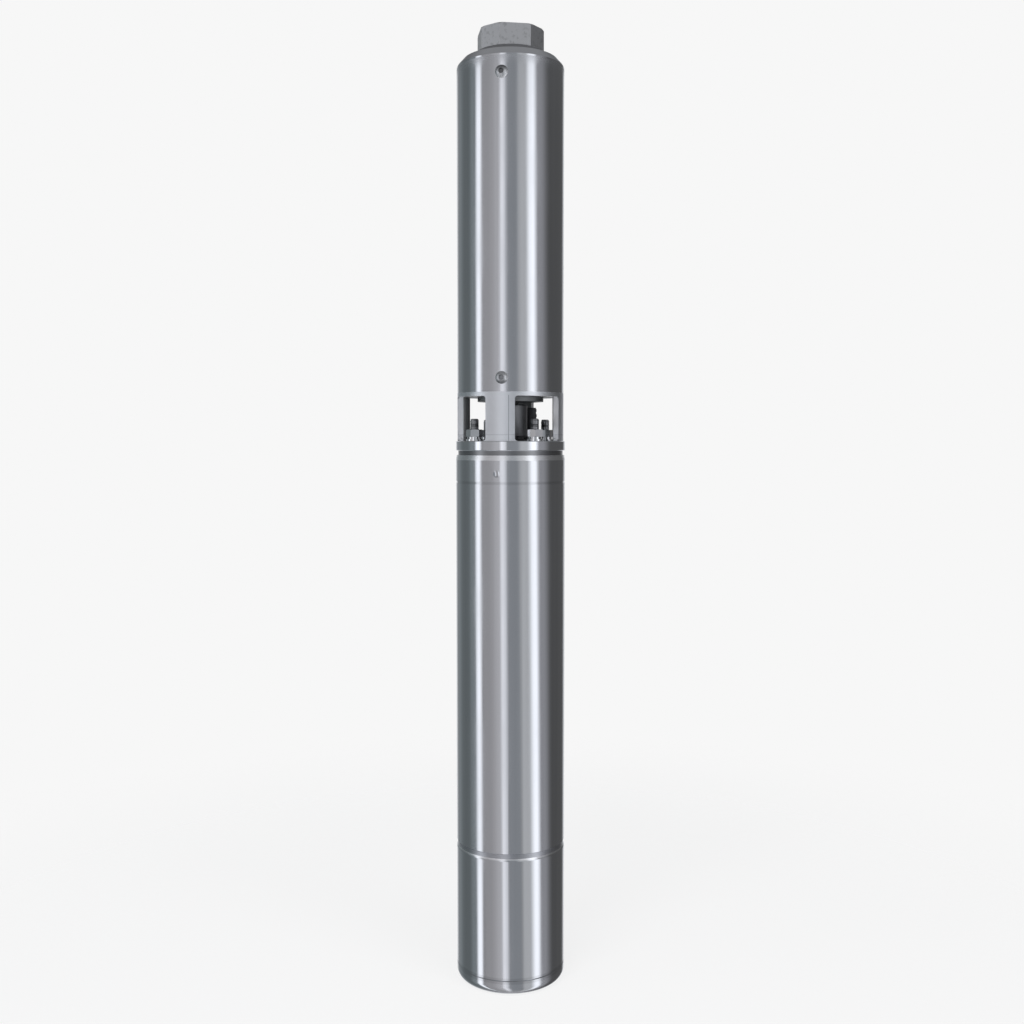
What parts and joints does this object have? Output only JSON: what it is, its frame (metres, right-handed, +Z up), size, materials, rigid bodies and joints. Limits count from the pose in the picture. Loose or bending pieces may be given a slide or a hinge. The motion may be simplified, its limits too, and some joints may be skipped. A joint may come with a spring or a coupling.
{
  "type": "borehole submersible pump",
  "caption": "Slim multistage borehole pump: polished steel tube with eight-sided threaded outlet, open intake bracket and sealed motor below, with spinning shaft and sprung check valve.",
  "frame": {"origin": "centre of the flat base under the motor", "axes": "+Z up along the shaft towards the outlet; the intake windows face +X, -X, +Y and -Y"},
  "size_m": [0.098, 0.098, 0.849],
  "materials": {
    "polished_steel": "polished stainless steel tube with fine drawn lines",
    "cast_steel": "satin blasted stainless casting with turned rims",
    "fastener_steel": "bright stainless fasteners",
    "shaft_steel": "ground stainless bar",
    "black_steel": "blackened steel",
    "black_rubber": "moulded black rubber",
    "black_plastic": "moulded black plastic",
    "impeller_plastic": "natural glass-filled plastic",
    "bowl_plastic": "grey glass-filled plastic",
    "valve_brass": "turned brass",
    "bearing_carbon": "resin-bonded carbon",
    "lamination_steel": "stacked electrical steel",
    "enamelled_copper": "varnished copper wire",
    "cage_aluminium": "die-cast aluminium"
  },
  "bodies": {
    "housing": {"bearing_carrier": "cast_steel", "bottom_cover": "polished_steel", "bowl_1": "bowl_plastic", "bowl_2": "bowl_plastic", "bowl_3": "bowl_plastic", "bowl_4": "bowl_plastic", "bowl_5": "bowl_plastic", "bowl_6": "bowl_plastic", "bowl_7": "bowl_plastic", "bowl_8": "bowl_plastic", "cable_gland": "black_plastic", "carrier_seal_rings": "black_rubber", "cover_screws": "fastener_steel", "diaphragm": "black_rubber", "discharge_head": "cast_steel", "flat_washers": "fastener_steel", "head_seal_ring": "black_rubber", "lock_washers": "fastener_steel", "lower_bearing": "bearing_carbon", "lower_housing": "polished_steel", "motor_sleeve": "polished_steel", "motor_top_cover": "cast_steel", "mounting_studs": "fastener_steel", "pump_sleeve": "polished_steel", "shaft_seal": "bearing_carbon", "sleeve_screws": "fastener_steel", "stator_core": "lamination_steel", "stator_winding": "enamelled_copper", "stud_nuts": "fastener_steel", "suction_bracket": "cast_steel", "thrust_pads": "bearing_carbon", "thrust_plate": "lamination_steel", "top_bearing_bush": "black_rubber", "top_bearing_housing": "cast_steel", "top_cover_seal_ring": "black_rubber", "upper_bearing": "bearing_carbon", "valve_cage": "valve_brass", "valve_seat": "shaft_steel", "valve_spring": "shaft_steel"},
    "rotor": {"pump_shaft": "shaft_steel", "shaft_sleeve": "shaft_steel", "shaft_nut": "fastener_steel", "coupling": "shaft_steel", "coupling_screws": "black_steel", "sand_slinger": "black_rubber", "motor_shaft": "shaft_steel", "rotor_core": "lamination_steel", "rotor_end_rings": "cage_aluminium", "thrust_disc": "shaft_steel", "impeller_1": "impeller_plastic", "impeller_2": "impeller_plastic", "impeller_3": "impeller_plastic", "impeller_4": "impeller_plastic", "impeller_5": "impeller_plastic", "impeller_6": "impeller_plastic", "impeller_7": "impeller_plastic", "impeller_8": "impeller_plastic"},
    "valve": {"valve_disc": "valve_brass", "valve_disc_seal": "black_rubber"}
  },
  "joints": [
    {"name": "shaft_spin", "type": "hinge", "parent": "housing", "child": "rotor", "pos_m": [0, 0, 0.3], "axis": [0, 0, 1], "continuous": true},
    {"name": "valve_lift", "type": "slide", "parent": "housing", "child": "valve", "axis": [0, 0, 1], "range_m": [0, 0.006], "stiffness_N_per_m": 150, "springref_m": -0.01, "deforming": ["valve_spring"]}
  ]
}
